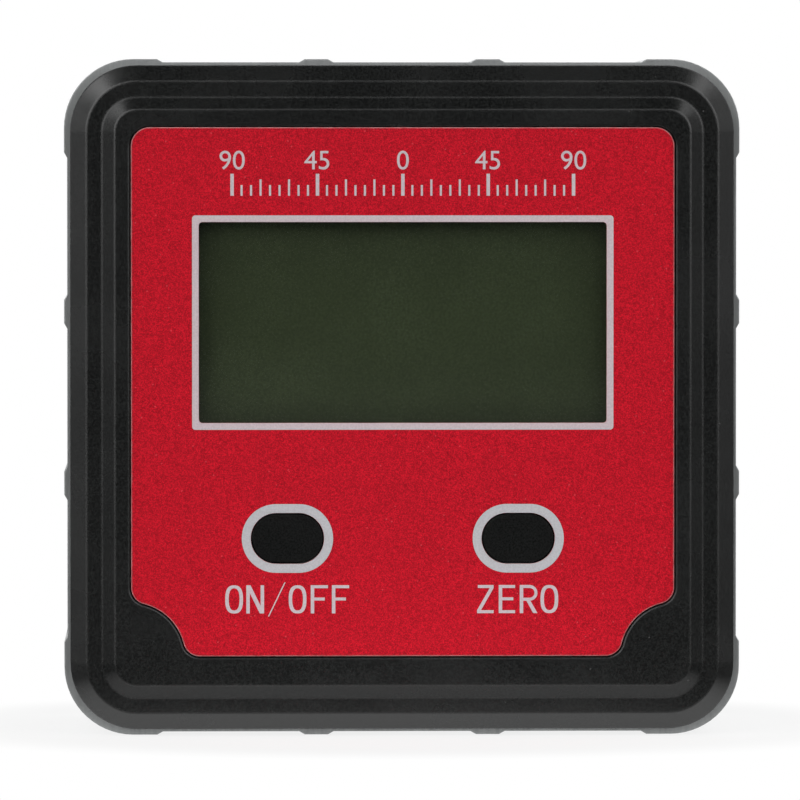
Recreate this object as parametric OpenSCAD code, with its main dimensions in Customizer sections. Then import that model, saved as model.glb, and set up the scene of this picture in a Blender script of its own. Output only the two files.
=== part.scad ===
// Digital angle gauge: a square aluminium frame closed by two stepped plastic covers.
// X runs to the right, Y from the front to the back and Z up. The origin is the middle of the base.

/* [Frame] */
// Side of the square frame across its contact lands
frame_size = 54; // [53.5:0.5:66]
// Length of the frame from its front end to its rear end
frame_depth = 26.4; // [24:0.2:36]
// Wall of the frame measured under a land
frame_wall = 2.4; // [2:0.1:2.8]
// Outside corner radius of the frame
frame_corner_r = 5.5; // [4.5:0.1:6.5]
// Inside corner radius of the frame
cavity_corner_r = 3; // [2.5:0.1:4]

/* [Contact lands] */
// Height of the lands above the flanks between them
land_h = 0.25; // [0.1:0.05:0.5]
// Length of a corner land, from the outer face of the next side
corner_land = 7.65; // [7:0.05:9]
// Distance between the two narrow rails of a side
rail_pitch = 13.7; // [11:0.1:15]
// Width of a narrow rail, halfway up its slopes
rail_w = 2.3; // [1.6:0.1:3]
// Run of the slope at the end of a land
land_ramp = 0.45; // [0.2:0.05:0.8]

/* [Covers] */
// Distance from the plane of the lands in to a cover's edge
cover_inset = 0.5; // [0.3:0.05:0.8]
// Outside corner radius of a cover
cover_corner_r = 5.3; // [4.8:0.1:6.4]
// Thickness of the straight rim that lies on the frame's end
rim_t = 0.9; // [0.6:0.1:1.4]
// Width of the outer bevel
outer_bevel_w = 1.3; // [1:0.05:1.6]
// Height of the outer bevel
outer_bevel_h = 1.1; // [0.8:0.05:1.4]
// Width of the flat step between the two bevels
step_w = 1.25; // [0.8:0.05:1.6]
// Width of the inner bevel
inner_bevel_w = 1; // [0.7:0.05:1.3]
// Height of the inner bevel
inner_bevel_h = 0.8; // [0.5:0.05:1.1]
// Depth of the lip inside the frame
lip_depth = 3; // [2:0.1:4]
// Thickness of the lip
lip_t = 1.4; // [1:0.1:1.7]
// Wall of the rear cover behind its plateau
rear_wall = 2; // [1.8:0.1:2.6]
// Clearance between the lip and the frame
fit_gap = 0.1; // [0.05:0.01:0.2]

/* [Label] */
// Strip of plateau left beside the label
label_side_margin = 1.3; // [0.8:0.05:2]
// Strip of plateau left above the label
label_top_margin = 1.4; // [0.8:0.05:2]
// Strip of plateau left below the label
label_bottom_margin = 2.35; // [1.2:0.05:3]
// Thickness of the label film
label_t = 0.25; // [0.15:0.05:0.4]
// Depth of the label's face below the plateau
label_sink = 0.15; // [0.1:0.05:0.3]
// Radius of the label's upper corners
label_corner_r = 1.5; // [0.8:0.1:2.5]
// Radius of the hollow cut out of each lower corner of the label
notch_r = 4.3; // [3:0.05:5]
// Radius that blends the hollow into the label's edges
notch_blend_r = 1.35; // [0.8:0.05:2]
// Clearance around the label in its recess
label_gap = 0.12; // [0.05:0.01:0.2]

/* [Display] */
// Width of the window in the label
window_w = 32.5; // [26:0.1:33]
// Height of the window in the label
window_h = 16; // [12:0.1:16.8]
// Height of the window's middle above the middle of the frame
window_rise = 6; // [4:0.05:6.5]
// Corner radius of the window
window_corner_r = 0.3; // [0.1:0.05:1]
// Distance that the front cover's opening stands back around the window
window_margin = 0.2; // [0.1:0.05:0.4]
// Thickness of the clear lens
lens_t = 1; // [0.8:0.05:1.4]
// Border of the lens that is hidden under the label
lens_border = 0.9; // [0.6:0.05:1.2]
// Ledge of the front cover that carries the lens
lens_seat_t = 0.6; // [0.4:0.05:1]
// Clearance around the lens
lens_gap = 0.1; // [0.05:0.01:0.2]
// Border of the display glass at each end of the window
lcd_side_border = 1.75; // [1:0.05:2]
// Border of the display glass above and below the window
lcd_edge_border = 2.2; // [2:0.05:2.6]
// Thickness of each of the two glass plates of the display
lcd_glass_t = 1.1; // [0.7:0.05:1.4]
// Width of the contact ledge of the display's front plate
lcd_ledge = 1.8; // [1.4:0.05:2]
// Clearance of a connector strip from the edges of its ledge
strip_gap = 0.2; // [0.1:0.05:0.4]
// Distance of a connector strip's ends from the ends of the glass
strip_inset = 1; // [0.5:0.1:3]
// Length of the ribs beside the display glass
rib_len = 8; // [4:0.5:12]
// Thickness of those ribs
rib_t = 1; // [0.8:0.1:1.5]
// Height of those ribs
rib_h = 2; // [1:0.1:2.5]
// Clearance around the display glass, which trims the ribs and any boss near it
rib_gap = 0.15; // [0.1:0.01:0.3]

/* [Keys] */
// Width of a key
key_w = 5.6; // [5:0.1:7]
// Height of a key
key_h = 3.8; // [3.4:0.1:4.8]
// Distance between the two keys
key_pitch = 18.4; // [14:0.1:22]
// Distance of the keys below the middle of the frame
key_drop = 11.2; // [10:0.05:14]
// Height of a key above the label
key_proud = 0.1; // [0:0.05:0.15]
// Travel of a key
key_travel = 0.3; // [0.2:0.05:0.5]
// Clearance around a key
key_gap = 0.12; // [0.08:0.01:0.2]
// Width of the flange that keeps a key behind the front cover
key_flange = 0.7; // [0.4:0.05:1]
// Thickness of that flange
key_flange_t = 0.8; // [0.5:0.05:1.2]

/* [Circuit board] */
// Thickness of the board
board_t = 1.6; // [1:0.1:2]
// Distance from the front cover's wall to the board
board_standoff = 4.2; // [3.8:0.1:5.5]
// Clearance between the board and the front cover's lip
board_gap = 0.5; // [0.3:0.05:0.8]
// Clearance between the board and the case bosses
board_notch_gap = 0.4; // [0.2:0.05:0.8]
// Distance of a board screw from the board's upper or lower edge
board_screw_inset = 2.2; // [1.8:0.05:2.5]
// Distance between the left and right board screws
board_screw_pitch = 20; // [16:0.1:24]
// Radius of the bosses that carry the board
board_boss_r = 1.9; // [1.5:0.05:2.2]

/* [Switches] */
// Side of a push switch
switch_w = 6; // [5:0.1:6.5]
// Width of a switch's solder legs
switch_leg_w = 0.7; // [0.5:0.05:1]
// Reach of those legs beside the switch
switch_leg_reach = 0.9; // [0.6:0.05:1.4]
// Thickness of those legs
switch_leg_t = 0.3; // [0.2:0.05:0.5]
// Distance between the legs of one side
switch_leg_pitch = 4.5; // [3.5:0.1:4.8]
// Diameter of a switch's plunger
plunger_d = 3.2; // [2.6:0.1:3.6]
// Height of the plunger above the switch
plunger_proud = 0.7; // [0.6:0.05:1]
// Length of the plunger inside the switch
plunger_seat = 0.6; // [0.4:0.05:0.8]
// Clearance around and behind the plunger
plunger_gap = 0.1; // [0.06:0.01:0.2]

/* [Board parts] */
// Side of the microcontroller's package
chip_w = 9; // [8:0.1:10]
// Thickness of the package
chip_t = 1.4; // [1:0.05:2]
// Height of the package above the middle of the frame
chip_rise = 7; // [5:0.1:9]
// Number of legs on each side of the package
chip_legs = 12; // [8:1:14]
// Distance between two legs
chip_leg_pitch = 0.65; // [0.4:0.05:0.65]
// Width of a leg
chip_leg_w = 0.3; // [0.2:0.05:0.35]
// Reach of a leg beside the package
chip_leg_reach = 1.1; // [0.7:0.05:1.4]
// Thickness of a leg
chip_leg_t = 0.35; // [0.2:0.05:0.6]
// Side of the tilt sensor
sensor_w = 3; // [2:0.1:4]
// Thickness of the tilt sensor
sensor_t = 1; // [0.7:0.05:1.5]
// Distance of the tilt sensor to the right of the middle
sensor_x = 9; // [7:0.1:12]
// Distance of the tilt sensor below the middle
sensor_drop = 2; // [0:0.1:4]
// Width of the crystal
crystal_w = 5; // [3:0.1:6]
// Height of the crystal
crystal_h = 3.2; // [2:0.1:4]
// Thickness of the crystal
crystal_t = 1.2; // [0.8:0.05:2]
// Distance of the crystal to the left of the microcontroller
crystal_x = 9.5; // [9:0.1:12]
// Width of a chip capacitor
capacitor_w = 2; // [1.6:0.1:2.4]
// Height of a chip capacitor
capacitor_h = 1.25; // [0.8:0.05:1.6]
// Thickness of a chip capacitor
capacitor_t = 0.9; // [0.6:0.05:1.3]
// Distance of the first capacitor to the right of the microcontroller
capacitor_x = 9.5; // [8.5:0.1:10.5]
// Distance between two capacitors, both ways
capacitor_pitch = 3; // [2.6:0.1:3.2]
// Number of capacitors in a row
capacitor_columns = 3; // [1:1:3]
// Number of rows of capacitors
capacitor_rows = 2; // [1:1:2]

/* [Battery] */
// Diameter of the coin cell
cell_d = 20; // [16:0.1:21]
// Thickness of the coin cell
cell_t = 3.2; // [1.6:0.1:5]
// Width of the shoulder around the cell's negative cap
cell_shoulder = 1.4; // [0.8:0.05:2]
// Height of the negative cap
cell_cap_h = 0.4; // [0.2:0.05:0.6]
// Clearance around the coin cell
cell_gap = 0.2; // [0.1:0.01:0.4]
// Clearance between the coin cell and the door
cell_top_gap = 0.3; // [0.1:0.05:0.6]
// Wall and floor of the cell's well
well_wall = 1.2; // [0.9:0.05:1.6]

/* [Contacts] */
// Thickness of the contact strips
contact_t = 0.3; // [0.2:0.05:0.4]
// Width of the contact strips
contact_w = 4; // [3:0.1:5]
// Distance of the negative strip's tail and tongue from the middle
contact_reach = 5; // [4:0.1:6]
// Length of the tongue's flat end
tongue_len = 2; // [1:0.1:2.5]
// Height that the tongue springs up to
contact_spring = 0.3; // [0.2:0.05:0.6]
// Length of the solder tails in front of the well's floor
contact_tail = 1.2; // [0.8:0.1:2]
// Clearance of a strip in its slot
slot_gap = 0.1; // [0.06:0.01:0.2]
// Diameter of the two lead wires
lead_d = 1.2; // [0.8:0.1:1.6]
// Distance of a lead's solder pad from the middle of the board
lead_pad_x = 4; // [3:0.1:7]
// Distance of the solder pads below the middle of the board
lead_pad_drop = 14; // [8:0.1:18]

/* [Battery door] */
// Width of the door
door_w = 26; // [25:0.1:30]
// Height of the door
door_h = 27; // [26:0.1:30]
// Thickness of the door
door_t = 1.4; // [1.2:0.05:1.6]
// Clearance around the door
door_gap = 0.15; // [0.1:0.01:0.25]
// Clearance between the door and the ledge under it
door_rest = 0.05; // [0.02:0.01:0.1]
// Corner radius of the door
door_corner_r = 1.5; // [0.5:0.1:3]
// Width of a hinge tab
tab_w = 4; // [3:0.1:6]
// Reach of a hinge tab under the rear cover
tab_len = 1.2; // [0.8:0.05:1.4]
// Distance between the two hinge tabs
tab_pitch = 13; // [10:0.1:15]
// Thickness of the rear cover over a hinge tab
tab_roof_t = 0.8; // [0.6:0.05:0.9]
// Clearance around a hinge tab
tab_gap = 0.2; // [0.15:0.01:0.3]
// Clearance between a hinge tab and the cover over it
tab_roof_gap = 0.05; // [0.03:0.01:0.1]
// Width of the grip grooves and of the fingernail scoop
grip_w = 9; // [6:0.5:14]
// Number of grip grooves
grip_count = 3; // [1:1:5]
// Distance between two grooves
grip_pitch = 1.4; // [1:0.1:2]
// Width of a groove
grip_h = 0.6; // [0.4:0.05:0.8]
// Depth of a groove
grip_t = 0.35; // [0.2:0.05:0.5]
// Distance of the first groove from the door's upper edge
grip_edge = 2; // [1.5:0.1:4]
// Radius of the fingernail scoop
scoop_r = 2.4; // [2:0.1:3]
// Depth of the fingernail scoop
scoop_t = 1.2; // [0.6:0.05:1.2]

/* [Magnets] */
// Diameter of a magnet
magnet_d = 9; // [6:0.1:10]
// Thickness of a magnet
magnet_t = 1.6; // [1:0.05:1.7]
// Distance between the two magnets
magnet_pitch = 27.6; // [26.5:0.1:28]
// Clearance around a magnet
magnet_gap = 0.05; // [0.02:0.01:0.1]

/* [Screws] */
// Distance of a case screw from the inside of the covers' lips
case_screw_inset = 3.6; // [3.4:0.05:4.2]
// Radius of the bosses around the case screws
case_boss_r = 2.75; // [2.4:0.05:3.2]
// Length of the rear cover's bosses
rear_boss_len = 8; // [5:0.1:11]
// Diameter of a case screw
case_screw_d = 2.2; // [1.8:0.1:2.6]
// Length of a case screw inside the front cover's boss
case_screw_grip = 8; // [5:0.1:10]
// Diameter of a case screw's head
case_head_d = 4.2; // [3.6:0.1:4.6]
// Height of a case screw's head
case_head_h = 1.3; // [1:0.05:1.6]
// Depth of the head's top below the plateau
case_head_sink = 0.3; // [0.1:0.05:0.5]
// Clearance around a case screw's head
case_head_gap = 0.25; // [0.15:0.05:0.4]
// Diameter of a board screw
board_screw_d = 1.6; // [1.2:0.1:2]
// Length of a board screw inside its boss
board_screw_grip = 3; // [2:0.1:3.4]
// Diameter of a board screw's head
board_head_d = 3.4; // [2.8:0.1:3.8]
// Height of a board screw's head
board_head_h = 1.2; // [1:0.05:1.6]
// Sloping edge of the screw heads
head_edge = 0.4; // [0.2:0.05:0.5]
// Width of the cross recess in the heads
bit_w = 0.7; // [0.5:0.05:0.9]
// Depth of the cross recess
bit_t = 0.6; // [0.4:0.05:0.8]
// Metal left outside the ends of the cross recess
bit_rim = 0.8; // [0.6:0.05:1]
// Clearance of a screw in the hole that it cuts
thread_gap = 0.05; // [0.02:0.01:0.1]
// Clearance of a screw in a hole that it passes through, and in front of its tip
pass_gap = 0.15; // [0.1:0.01:0.3]

/* [Hidden] */
$fn = 64;
// A cut reaches this far past the face that it opens
past = 1;
// Overlap of round blends with the edges that they only touch
lap = 0.002;
// Ribs, bosses and the well reach this far into the wall that carries them
root = 0.3;

// Frame: half sizes, and the height of its middle
frame_half = frame_size / 2;
flank_half = frame_half - land_h;
cavity_half = frame_half - frame_wall;
corner_centre = frame_half - frame_corner_r;
mid_z = frame_half;

// Edge of one side, from its right corner to its middle and on to its left corner
slope = land_ramp / 2;
corner_in = frame_half - corner_land;
rail_in = (rail_pitch - rail_w) / 2;
rail_out = (rail_pitch + rail_w) / 2;
right_edge = [[corner_centre, frame_half], [corner_in + slope, frame_half], [corner_in - slope, flank_half],
    [rail_out + slope, flank_half], [rail_out - slope, frame_half], [rail_in + slope, frame_half],
    [rail_in - slope, flank_half]];
left_edge = [for (i = [len(right_edge) - 1:-1:0]) [-right_edge[i][0], right_edge[i][1]]];
side_edge = concat(right_edge, left_edge);

// Covers: half sizes, and the places of the front one's faces along Y
cover_half = frame_half - cover_inset;
step_inset = outer_bevel_w + step_w;
plateau_half = cover_half - step_inset - inner_bevel_w;
lip_half = cavity_half - fit_gap;
hollow_half = lip_half - lip_t;
lip_corner_r = cavity_corner_r - fit_gap;
hollow_corner_r = lip_corner_r - lip_t;
y_seat = -frame_depth / 2;
y_rim = y_seat - rim_t;
y_step = y_rim - outer_bevel_h;
y_face = y_step - inner_bevel_h;
y_lip = y_seat + lip_depth;

// Rear cover: its outer face, the inside of its wall, and the end of its lip
y_back = -y_face;
y_rear_in = y_back - rear_wall;
y_rear_lip = -y_lip;

// Label, lens and display along Y
y_label = y_face + label_sink;
y_label_floor = y_label + label_t;
y_lens_floor = y_label_floor + lens_t;
y_wall_in = y_lens_floor + lens_seat_t;
y_ledge = y_wall_in + lcd_glass_t;
y_lcd_back = y_ledge + lcd_glass_t;

// Label outline
label_half_w = plateau_half - label_side_margin;
label_top = mid_z + plateau_half - label_top_margin;
label_bottom = mid_z - plateau_half + label_bottom_margin;
notch_reach = sqrt(pow(notch_r + notch_blend_r, 2) - pow(notch_blend_r, 2));

// Display
window_z = mid_z + window_rise;
lens_w = window_w + 2 * lens_border;
lens_h = window_h + 2 * lens_border;
lcd_w = window_w + 2 * lcd_side_border;
lcd_h = window_h + 2 * lcd_edge_border;
strip_h = lcd_ledge - 2 * strip_gap;
strip_w = lcd_w - 2 * strip_inset;

// Keys, switches and board along Y
key_z = mid_z - key_drop;
y_key = y_label - key_proud;
y_plunger = y_wall_in + key_flange_t;
y_switch = y_plunger + plunger_proud;
y_plunger_end = y_switch + plunger_seat;
y_bore = y_plunger_end + key_travel + plunger_gap;
y_board = y_wall_in + board_standoff;
y_board_back = y_board + board_t;

// Board outline and its screws
board_half = hollow_half - board_gap;
case_screw_at = hollow_half - case_screw_inset;
board_notch = case_screw_at - case_boss_r - board_notch_gap;
board_screw_x = board_screw_pitch / 2;
board_screw_dz = board_half - board_screw_inset;

// Middles of the parts on the back of the board
chip_z = mid_z + chip_rise;
sensor_z = mid_z - sensor_drop;
lead_pad_z = mid_z - lead_pad_drop;

// Coin cell and its well, from the door inward
y_door = y_back - door_t;
y_door_ledge = y_door - door_rest;
y_cell_top = y_door - cell_top_gap;
y_cell = y_cell_top - cell_t;
y_strip = y_cell - contact_spring;
y_well = y_strip - contact_t;
y_well_front = y_well - well_wall;
y_tail = y_well_front - contact_tail;
well_r = cell_d / 2 + cell_gap;
cell_cap_r = cell_d / 2 - cell_shoulder;
clip_x = cell_d / 2 + slot_gap;

// Battery door: its hinge line lies at the lower edge of its recess, in the outer face
hinge_z = mid_z - door_h / 2 - door_gap;
y_tab = y_back - tab_roof_t - tab_roof_gap;
first_groove_z = mid_z + door_h / 2 - grip_edge - grip_h;

// Case screws: where the two covers' bosses meet, and where the heads sit
y_join = y_rear_in - rear_boss_len;
y_head = y_back - case_head_sink - case_head_h;

// Sides of a lead wire, and the rings that it is swept through
lead_sides = 10;
lead_rings = 16;

// Extrudes a drawing in X and Z along Y, from y0 to y1
module slab(y0, y1) {
    translate([0, y1, 0]) rotate([90, 0, 0]) linear_extrude(y1 - y0) children();
}

// Round rod along Y, from y0 to y1
module rod(y0, y1, r) {
    translate([0, y0, 0]) rotate([-90, 0, 0]) cylinder(h = y1 - y0, r = r);
}

// Copies its children to the four corners of a rectangle of half sizes x and z, about the middle height
module at_corners(x, z) {
    for (sx = [-1, 1], sz = [-1, 1]) translate([sx * x, 0, mid_z + sz * z]) children();
}

// Rectangle with round corners
module round_rect(w, h, r) {
    square([w - 2 * r, h], center = true);
    square([w, h - 2 * r], center = true);
    for (sx = [-1, 1], sy = [-1, 1]) translate([sx * (w / 2 - r), sy * (h / 2 - r)]) circle(r);
}

// Square with round corners, of a half size, about the frame's middle
module mid_square(half, r) {
    translate([0, mid_z]) round_rect(2 * half, 2 * half, r);
}

// Slot with full round ends
module stadium(w, h) {
    square([w - h, h], center = true);
    for (s = [-1, 1]) translate([s * (w - h) / 2, 0]) circle(h / 2);
}

// Round-cornered square that rises by h towards the front and draws in by run on every side
module bevel_block(y_base, half, r, run, h) {
    side = [[-half, 0], [half, 0], [half - run, h], [run - half, h]];
    reach = half - r;
    translate([0, y_base, mid_z]) rotate([90, 0, 0]) {
        for (turn = [0, 90]) rotate(turn) translate([-reach, 0, 0]) rotate([90, 0, 90])
            linear_extrude(2 * reach) polygon(side);
        for (sx = [-1, 1], sy = [-1, 1]) translate([sx * reach, sy * reach, 0])
            cylinder(h = h, r1 = r, r2 = r - run);
    }
}

// Outside of the front cover: rim, outer bevel, step and inner bevel, with the lip behind the rim
module cover_form() {
    slab(y_rim, y_seat) mid_square(cover_half, cover_corner_r);
    bevel_block(y_rim, cover_half, cover_corner_r, outer_bevel_w, outer_bevel_h);
    bevel_block(y_step, cover_half - step_inset, cover_corner_r - step_inset, inner_bevel_w, inner_bevel_h);
    slab(y_seat, y_lip) mid_square(lip_half, lip_corner_r);
}

// Outline of the extruded frame: four sides with their lands, and four round corners
module frame_outline() {
    polygon([for (turn = [0:90:270], p = side_edge)
        [p[0] * cos(turn) - p[1] * sin(turn), p[0] * sin(turn) + p[1] * cos(turn)]]);
    for (sx = [-1, 1], sy = [-1, 1]) translate([sx * corner_centre, sy * corner_centre])
        circle(frame_corner_r);
}

// Disc that fills a magnet's pocket down to the height z0, grown by a clearance
module magnet_form(side, grow, z0) {
    translate([side * magnet_pitch / 2, 0, z0])
        cylinder(h = land_h + magnet_t - z0, d = magnet_d + 2 * grow);
}

// Square tube with raised lands on all four sides and two magnet pockets in its base
module frame() {
    color("silver") difference() {
        slab(-frame_depth / 2, frame_depth / 2) translate([0, mid_z]) difference() {
            frame_outline();
            round_rect(2 * cavity_half, 2 * cavity_half, cavity_corner_r);
        }
        for (side = [-1, 1]) magnet_form(side, magnet_gap, -past);
    }
}

module left_magnet() {
    color("gainsboro") magnet_form(-1, 0, land_h);
}

module right_magnet() {
    color("gainsboro") magnet_form(1, 0, land_h);
}

// Outline of the label, grown outward: round upper corners, and a hollow at each lower corner
module label_outline(grow) {
    top = label_top + grow;
    bottom = label_bottom - grow;
    half = label_half_w + grow;
    r = label_corner_r + grow;
    difference() {
        union() {
            translate([-half, bottom]) square([2 * half, top - r - bottom]);
            translate([r - half, top - 2 * r]) square([2 * (half - r), 2 * r]);
            for (s = [-1, 1]) translate([s * (half - r), top - r]) circle(r);
        }
        at_lower_corners() notch_clearance();
    }
    at_lower_corners() notch_edge(grow);
}

// Copies its children, drawn for the lower right corner of the label, to both lower corners
module at_lower_corners() {
    for (s = [0, 1]) mirror([s, 0]) translate([label_half_w, label_bottom]) children();
}

// Straight-sided cut at the lower right corner, drawn about that corner
module notch_clearance() {
    polygon([[past, -past], [past, notch_reach], [-notch_blend_r, notch_reach],
        [-notch_reach, notch_blend_r], [-notch_reach, -past]]);
}

// Fills that cut up to the hollow and the two round blends beside it
module notch_edge(grow) {
    blends = [[-notch_blend_r, notch_reach], [-notch_reach, notch_blend_r]];
    for (p = blends) translate(p) circle(notch_blend_r + grow + lap);
    difference() {
        polygon([[0, 0], blends[0], blends[1]]);
        circle(notch_r - grow);
    }
}

// Both key outlines, grown outward
module key_outlines(grow) {
    for (side = [-1, 1]) translate([side * key_pitch / 2, key_z])
        stadium(key_w + 2 * grow, key_h + 2 * grow);
}

// Display opening, grown outward
module window_outline(grow) {
    translate([0, window_z]) round_rect(window_w + 2 * grow, window_h + 2 * grow, window_corner_r + grow);
}

// Low bars across the ends of the display glass; the bay cuts them down to ribs that hold it sideways
module display_ribs() {
    for (s = [-1, 1]) translate([s * lcd_w / 2, window_z])
        square([2 * (rib_gap + rib_t), rib_len], center = true);
}

// Space for the display glass and its connector strips
module display_bay() {
    slab(y_wall_in, y_board) translate([0, window_z])
        square([lcd_w + 2 * rib_gap, lcd_h + 2 * rib_gap], center = true);
}

// Stepped bezel with the label's recess, the lens seat, the key holes and the bosses behind them
module front_cover() {
    color("#1c1d1d") difference() {
        union() {
            difference() {
                cover_form();
                slab(y_wall_in, y_lip + past) mid_square(hollow_half, hollow_corner_r);
            }
            slab(y_wall_in - root, y_wall_in + rib_h) display_ribs();
            at_corners(case_screw_at, case_screw_at) rod(y_wall_in - root, y_join, case_boss_r);
            at_corners(board_screw_x, board_screw_dz) rod(y_wall_in - root, y_board, board_boss_r);
        }
        display_bay();
        slab(y_face - past, y_label_floor) label_outline(label_gap);
        slab(y_face - past, y_lens_floor) translate([0, window_z])
            round_rect(lens_w + 2 * lens_gap, lens_h + 2 * lens_gap, lens_border);
        slab(y_face - past, y_wall_in + past) window_outline(window_margin);
        slab(y_face - past, y_wall_in + past) key_outlines(key_gap);
        at_corners(case_screw_at, case_screw_at)
            rod(y_join - case_screw_grip - pass_gap, y_join + past, case_screw_d / 2 + thread_gap);
        at_corners(board_screw_x, board_screw_dz)
            rod(y_board - board_screw_grip - pass_gap, y_board + past, board_screw_d / 2 + thread_gap);
    }
}

// Printed film with the window and the two key openings
module face_label() {
    color("#b61b2a") slab(y_label, y_label_floor) difference() {
        label_outline(0);
        window_outline(0);
        key_outlines(key_gap);
    }
}

module display_lens() {
    color("#c8d0c4", 0.35) slab(y_label_floor, y_lens_floor) translate([0, window_z])
        round_rect(lens_w, lens_h, lens_border - lens_gap);
}

// Two bonded glass plates, with the contact ledges on the back of the larger one
module lcd_panel() {
    color("#31382a") translate([0, 0, window_z]) {
        slab(y_wall_in, y_ledge) square([lcd_w, lcd_h], center = true);
        slab(y_ledge, y_lcd_back) square([lcd_w, lcd_h - 2 * lcd_ledge], center = true);
    }
}

// Rubber connector between a contact ledge and the board
module zebra_strip(side) {
    color("dimgray") slab(y_ledge, y_board) translate([0, window_z + side * (lcd_h - lcd_ledge) / 2])
        square([strip_w, strip_h], center = true);
}

module upper_zebra_strip() {
    zebra_strip(1);
}

module lower_zebra_strip() {
    zebra_strip(-1);
}

// Square board cut away at the corners for the case bosses
module main_board() {
    color("seagreen") difference() {
        slab(y_board, y_board_back) difference() {
            translate([0, mid_z]) square(2 * board_half, center = true);
            for (sx = [-1, 1], sz = [-1, 1]) translate([sx * board_half, mid_z + sz * board_half])
                square(2 * (board_half - board_notch), center = true);
        }
        at_corners(board_screw_x, board_screw_dz)
            rod(y_board - past, y_board_back + past, board_screw_d / 2 + pass_gap);
    }
}

// Cross-head screw along Y, with its head's underside at y = 0 and its tip in front of it
module cross_head_screw(d, len, head_d, head_h) {
    bit_len = head_d - 2 * bit_rim;
    rod(-len, head_h - bit_t, d / 2);
    difference() {
        union() {
            rod(0, head_h - head_edge, head_d / 2);
            translate([0, head_h - head_edge, 0]) rotate([-90, 0, 0])
                cylinder(h = head_edge, d1 = head_d, d2 = head_d - 2 * head_edge);
        }
        for (turn = [0, 90]) rotate([0, turn, 0]) translate([-bit_len / 2, head_h - bit_t, -bit_w / 2])
            cube([bit_len, bit_t + past, bit_w]);
    }
}

module board_screws() {
    color("lightgray") at_corners(board_screw_x, board_screw_dz) translate([0, y_board_back, 0])
        cross_head_screw(board_screw_d, board_t + board_screw_grip, board_head_d, board_head_h);
}

// Key cap that passes through the cover and the label, with its flange behind the cover
module press_key(side) {
    color("#191a19") translate([side * key_pitch / 2, 0, key_z]) {
        slab(y_key, y_plunger) stadium(key_w, key_h);
        slab(y_wall_in, y_plunger) stadium(key_w + 2 * key_flange, key_h + 2 * key_flange);
    }
}

module on_off_key() {
    press_key(-1);
}

module zero_key() {
    press_key(1);
}

// Switch plunger, which holds a key up by its flange
module key_plunger(side) {
    color("saddlebrown") translate([side * key_pitch / 2, 0, key_z])
        rod(y_plunger, y_plunger_end, plunger_d / 2);
}

module on_off_plunger() {
    key_plunger(-1);
}

module zero_plunger() {
    key_plunger(1);
}

// Switch body on the board, bored for its plunger's travel, with four solder legs
module push_switch(side) {
    color("darkslategray") translate([side * key_pitch / 2, 0, key_z]) difference() {
        union() {
            slab(y_switch, y_board) square(switch_w, center = true);
            slab(y_board - switch_leg_t, y_board) for (sx = [-1, 1], sz = [-1, 1])
                translate([sx * switch_w / 2, sz * switch_leg_pitch / 2])
                square([2 * switch_leg_reach, switch_leg_w], center = true);
        }
        rod(y_switch - past, y_bore, plunger_d / 2 + plunger_gap);
    }
}

module on_off_switch() {
    push_switch(-1);
}

module zero_switch() {
    push_switch(1);
}

// Flat package on the back of the board with legs along its four sides
module microcontroller() {
    color("black") translate([0, 0, chip_z]) {
        slab(y_board_back, y_board_back + chip_t) square(chip_w, center = true);
        slab(y_board_back, y_board_back + chip_leg_t) for (turn = [0:90:270], i = [0:chip_legs - 1])
            rotate(turn) translate([(i - (chip_legs - 1) / 2) * chip_leg_pitch, chip_w / 2])
            square([chip_leg_w, 2 * chip_leg_reach], center = true);
    }
}

module tilt_sensor() {
    color("dimgray") translate([sensor_x, 0, sensor_z])
        slab(y_board_back, y_board_back + sensor_t) square(sensor_w, center = true);
}

module crystal() {
    color("silver") translate([-crystal_x, 0, chip_z])
        slab(y_board_back, y_board_back + crystal_t) square([crystal_w, crystal_h], center = true);
}

module chip_capacitors() {
    color("tan") slab(y_board_back, y_board_back + capacitor_t)
        for (i = [0:capacitor_columns - 1], j = [0:capacitor_rows - 1])
        translate([capacitor_x + i * capacitor_pitch, chip_z - j * capacitor_pitch])
        square([capacitor_w, capacitor_h], center = true);
}

// Door outline, grown outward
module door_outline(grow) {
    translate([0, mid_z]) round_rect(door_w + 2 * grow, door_h + 2 * grow, door_corner_r + grow);
}

// Box across one hinge tab, between two depths and as far below the hinge line as above it
module tab_box(side, grow, y0, y1) {
    reach = tab_len + grow;
    translate([side * tab_pitch / 2 - tab_w / 2 - grow, y0, hinge_z - reach])
        cube([tab_w + 2 * grow, y1 - y0, 2 * reach]);
}

// Section of the side clip, grown outward
module clip_outline(grow) {
    translate([clip_x + contact_t / 2, mid_z])
        square([contact_t + 2 * grow, contact_w + 2 * grow], center = true);
}

// Round shell around the coin cell and the side clip, closed by a floor at its front
module well_form() {
    translate([0, 0, mid_z]) rod(y_well_front, y_rear_in + root, well_r + well_wall);
    slab(y_well_front, y_rear_in + root) clip_outline(well_wall);
}

// Space for the coin cell, its side clip and the two solder tails
module well_space() {
    translate([0, 0, mid_z]) rod(y_well, y_back, well_r);
    slab(y_well_front - past, y_back) clip_outline(slot_gap);
    slab(y_well_front - past, y_well + past) translate([contact_t / 2 - contact_reach, mid_z])
        square([contact_t + 2 * slot_gap, contact_w + 2 * slot_gap], center = true);
}

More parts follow.
